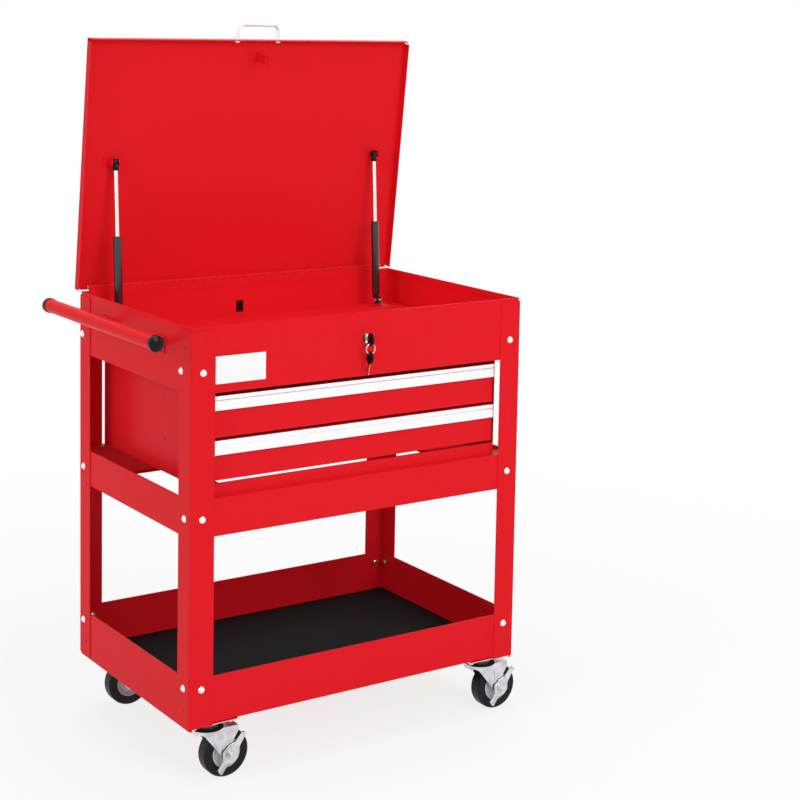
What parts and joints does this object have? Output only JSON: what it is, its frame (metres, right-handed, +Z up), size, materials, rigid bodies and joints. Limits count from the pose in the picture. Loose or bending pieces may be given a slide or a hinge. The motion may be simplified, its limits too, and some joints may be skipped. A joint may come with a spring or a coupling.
{
  "type": "service cart",
  "caption": "Red steel service cart with an open hinged lid on gas struts, drawers under the top box, a bottom tray, a side push handle and swivel casters.",
  "frame": {"origin": "middle of the bounding box footprint, on the floor under the wheels", "axes": "+Z up, +Y towards the rear (the hinge side), +X to the right seen from the drawer side"},
  "size_m": [0.9228, 0.5644, 1.5058],
  "materials": {
    "red_paint": "glossy powder coat",
    "black_rubber": "matt ribbed rubber",
    "zinc_plate": "bright zinc plate",
    "black_plastic": "glossy moulded plastic",
    "plate_white": "smooth bare plate",
    "chrome_wire": "polished chrome",
    "key_brass": "nickelled brass",
    "aluminium_strip": "satin anodised",
    "black_tube": "glossy black enamel",
    "grey_hub": "smooth moulded nylon",
    "black_tyre": "smooth black rubber",
    "black_oxide": "dark oxide"
  },
  "bodies": {
    "frame": {"corner_posts": "red_paint", "top_box": "red_paint", "middle_frame": "red_paint", "bottom_tray": "red_paint", "tray_mat": "black_rubber", "caster_channels": "red_paint", "drawer_housing": "red_paint", "slide_outer_members": "zinc_plate", "small_fasteners": "black_oxide", "side_handle_tube": "red_paint", "handle_end_caps": "black_plastic", "handle_brackets": "red_paint", "label_plate": "plate_white", "rear_grommet": "black_plastic", "hinge_leaf_box": "red_paint", "hinge_pin": "zinc_plate", "lock_body": "chrome_wire", "strut_feet": "zinc_plate", "frame_bolts": "chrome_wire", "frame_nuts": "zinc_plate", "caster_plates": "zinc_plate", "caster_bolts": "zinc_plate"},
    "lid": {"lid_pan": "red_paint", "hinge_leaf_lid": "red_paint", "lid_handle": "chrome_wire", "latch_strike": "red_paint", "strut_lid_studs": "black_oxide"},
    "strut_tube_left": {"strut_tube_left": "black_tube"},
    "strut_rod_left": {"strut_rod_left": "chrome_wire"},
    "strut_tube_right": {"strut_tube_right": "black_tube"},
    "strut_rod_right": {"strut_rod_right": "chrome_wire"},
    "drawer_upper": {"drawer_upper": "red_paint", "drawer_pull_upper": "aluminium_strip", "slide_inner_upper": "zinc_plate"},
    "drawer_lower": {"drawer_lower": "red_paint", "drawer_pull_lower": "aluminium_strip", "slide_inner_lower": "zinc_plate"},
    "lock_cylinder": {"lock_plug": "chrome_wire", "lock_cam": "zinc_plate", "key_in_lock": "key_brass"},
    "key_ring": {"key_ring": "chrome_wire"},
    "spare_key": {"spare_key": "key_brass"},
    "swivel_front_left": {"caster_fork_front_left": "zinc_plate", "caster_axle_front_left": "zinc_plate"},
    "wheel_front_left": {"caster_hub_front_left": "grey_hub", "caster_tyre_front_left": "black_tyre"},
    "brake_front_left": {"brake_lever_front_left": "zinc_plate"},
    "swivel_front_right": {"caster_fork_front_right": "zinc_plate", "caster_axle_front_right": "zinc_plate"},
    "wheel_front_right": {"caster_hub_front_right": "grey_hub", "caster_tyre_front_right": "black_tyre"},
    "brake_front_right": {"brake_lever_front_right": "zinc_plate"},
    "swivel_rear_left": {"caster_fork_rear_left": "zinc_plate", "caster_axle_rear_left": "zinc_plate"},
    "wheel_rear_left": {"caster_hub_rear_left": "grey_hub", "caster_tyre_rear_left": "black_tyre"},
    "swivel_rear_right": {"caster_fork_rear_right": "zinc_plate", "caster_axle_rear_right": "zinc_plate"},
    "wheel_rear_right": {"caster_hub_rear_right": "grey_hub", "caster_tyre_rear_right": "black_tyre"}
  },
  "joints": [
    {"name": "lid_hinge", "type": "hinge", "parent": "frame", "child": "lid", "pos_m": [0.0344, 0.26765, 0.931], "axis": [1, 0, 0], "range_deg": [0, 83], "stiffness_Nm_per_rad": 2.2, "springref_deg": -74.48},
    {"name": "strut_swing_left", "type": "hinge", "parent": "frame", "child": "strut_tube_left", "pos_m": [-0.2974, 0.21185, 0.857], "axis": [1, 0, 0], "range_deg": [0, 74]},
    {"name": "strut_stroke_left", "type": "slide", "parent": "strut_tube_left", "child": "strut_rod_left", "axis": [0, 0.0585, 0.9983], "range_m": [-0.138, 0]},
    {"name": "strut_swing_right", "type": "hinge", "parent": "frame", "child": "strut_tube_right", "pos_m": [0.3662, 0.21185, 0.857], "axis": [1, 0, 0], "range_deg": [0, 74]},
    {"name": "strut_stroke_right", "type": "slide", "parent": "strut_tube_right", "child": "strut_rod_right", "axis": [0, 0.0585, 0.9983], "range_m": [-0.138, 0]},
    {"name": "drawer_slide_upper", "type": "slide", "parent": "frame", "child": "drawer_upper", "axis": [0, -1, 0], "range_m": [0, 0.34]},
    {"name": "drawer_slide_lower", "type": "slide", "parent": "frame", "child": "drawer_lower", "axis": [0, -1, 0], "range_m": [0, 0.34]},
    {"name": "lock_turn", "type": "hinge", "parent": "frame", "child": "lock_cylinder", "pos_m": [0.0344, -0.25415, 0.87], "axis": [0, 1, 0], "range_deg": [0, 90]},
    {"name": "key_ring_swing", "type": "hinge", "parent": "lock_cylinder", "child": "key_ring", "pos_m": [0.0344, -0.27115, 0.8615], "axis": [1, 0, 0], "range_deg": [-45, 2]},
    {"name": "spare_key_swing", "type": "hinge", "parent": "key_ring", "child": "spare_key", "pos_m": [0.0344, -0.27115, 0.8403], "axis": [1, 0, 0], "range_deg": [-45, 2]},
    {"name": "caster_swivel_front_left", "type": "hinge", "parent": "frame", "child": "swivel_front_left", "pos_m": [-0.3056, -0.21515, 0.112], "axis": [0, 0, 1], "continuous": true},
    {"name": "wheel_spin_front_left", "type": "hinge", "parent": "swivel_front_left", "child": "wheel_front_left", "pos_m": [-0.2686, -0.21515, 0.05], "axis": [0, 1, 0], "continuous": true},
    {"name": "brake_press_front_left", "type": "hinge", "parent": "swivel_front_left", "child": "brake_front_left", "pos_m": [-0.2686, -0.21515, 0.05], "axis": [0, 1, 0], "range_deg": [0, 18]},
    {"name": "caster_swivel_front_right", "type": "hinge", "parent": "frame", "child": "swivel_front_right", "pos_m": [0.3744, -0.21515, 0.112], "axis": [0, 0, 1], "continuous": true},
    {"name": "wheel_spin_front_right", "type": "hinge", "parent": "swivel_front_right", "child": "wheel_front_right", "pos_m": [0.4114, -0.21515, 0.05], "axis": [0, 1, 0], "continuous": true},
    {"name": "brake_press_front_right", "type": "hinge", "parent": "swivel_front_right", "child": "brake_front_right", "pos_m": [0.4114, -0.21515, 0.05], "axis": [0, 1, 0], "range_deg": [0, 18]},
    {"name": "caster_swivel_rear_left", "type": "hinge", "parent": "frame", "child": "swivel_rear_left", "pos_m": [-0.3056, 0.22685, 0.112], "axis": [0, 0, 1], "continuous": true},
    {"name": "wheel_spin_rear_left", "type": "hinge", "parent": "swivel_rear_left", "child": "wheel_rear_left", "pos_m": [-0.2686, 0.22685, 0.05], "axis": [0, 1, 0], "continuous": true},
    {"name": "caster_swivel_rear_right", "type": "hinge", "parent": "frame", "child": "swivel_rear_right", "pos_m": [0.3744, 0.22685, 0.112], "axis": [0, 0, 1], "continuous": true},
    {"name": "wheel_spin_rear_right", "type": "hinge", "parent": "swivel_rear_right", "child": "wheel_rear_right", "pos_m": [0.4114, 0.22685, 0.05], "axis": [0, 1, 0], "continuous": true}
  ],
  "couplings": [
    {"joint": "strut_swing_left", "follows": "lid_hinge", "ratio": 0.86},
    {"joint": "strut_stroke_left", "follows": "lid_hinge", "m_per_rad": -0.093},
    {"joint": "strut_swing_right", "follows": "lid_hinge", "ratio": 0.86},
    {"joint": "strut_stroke_right", "follows": "lid_hinge", "m_per_rad": -0.093}
  ]
}
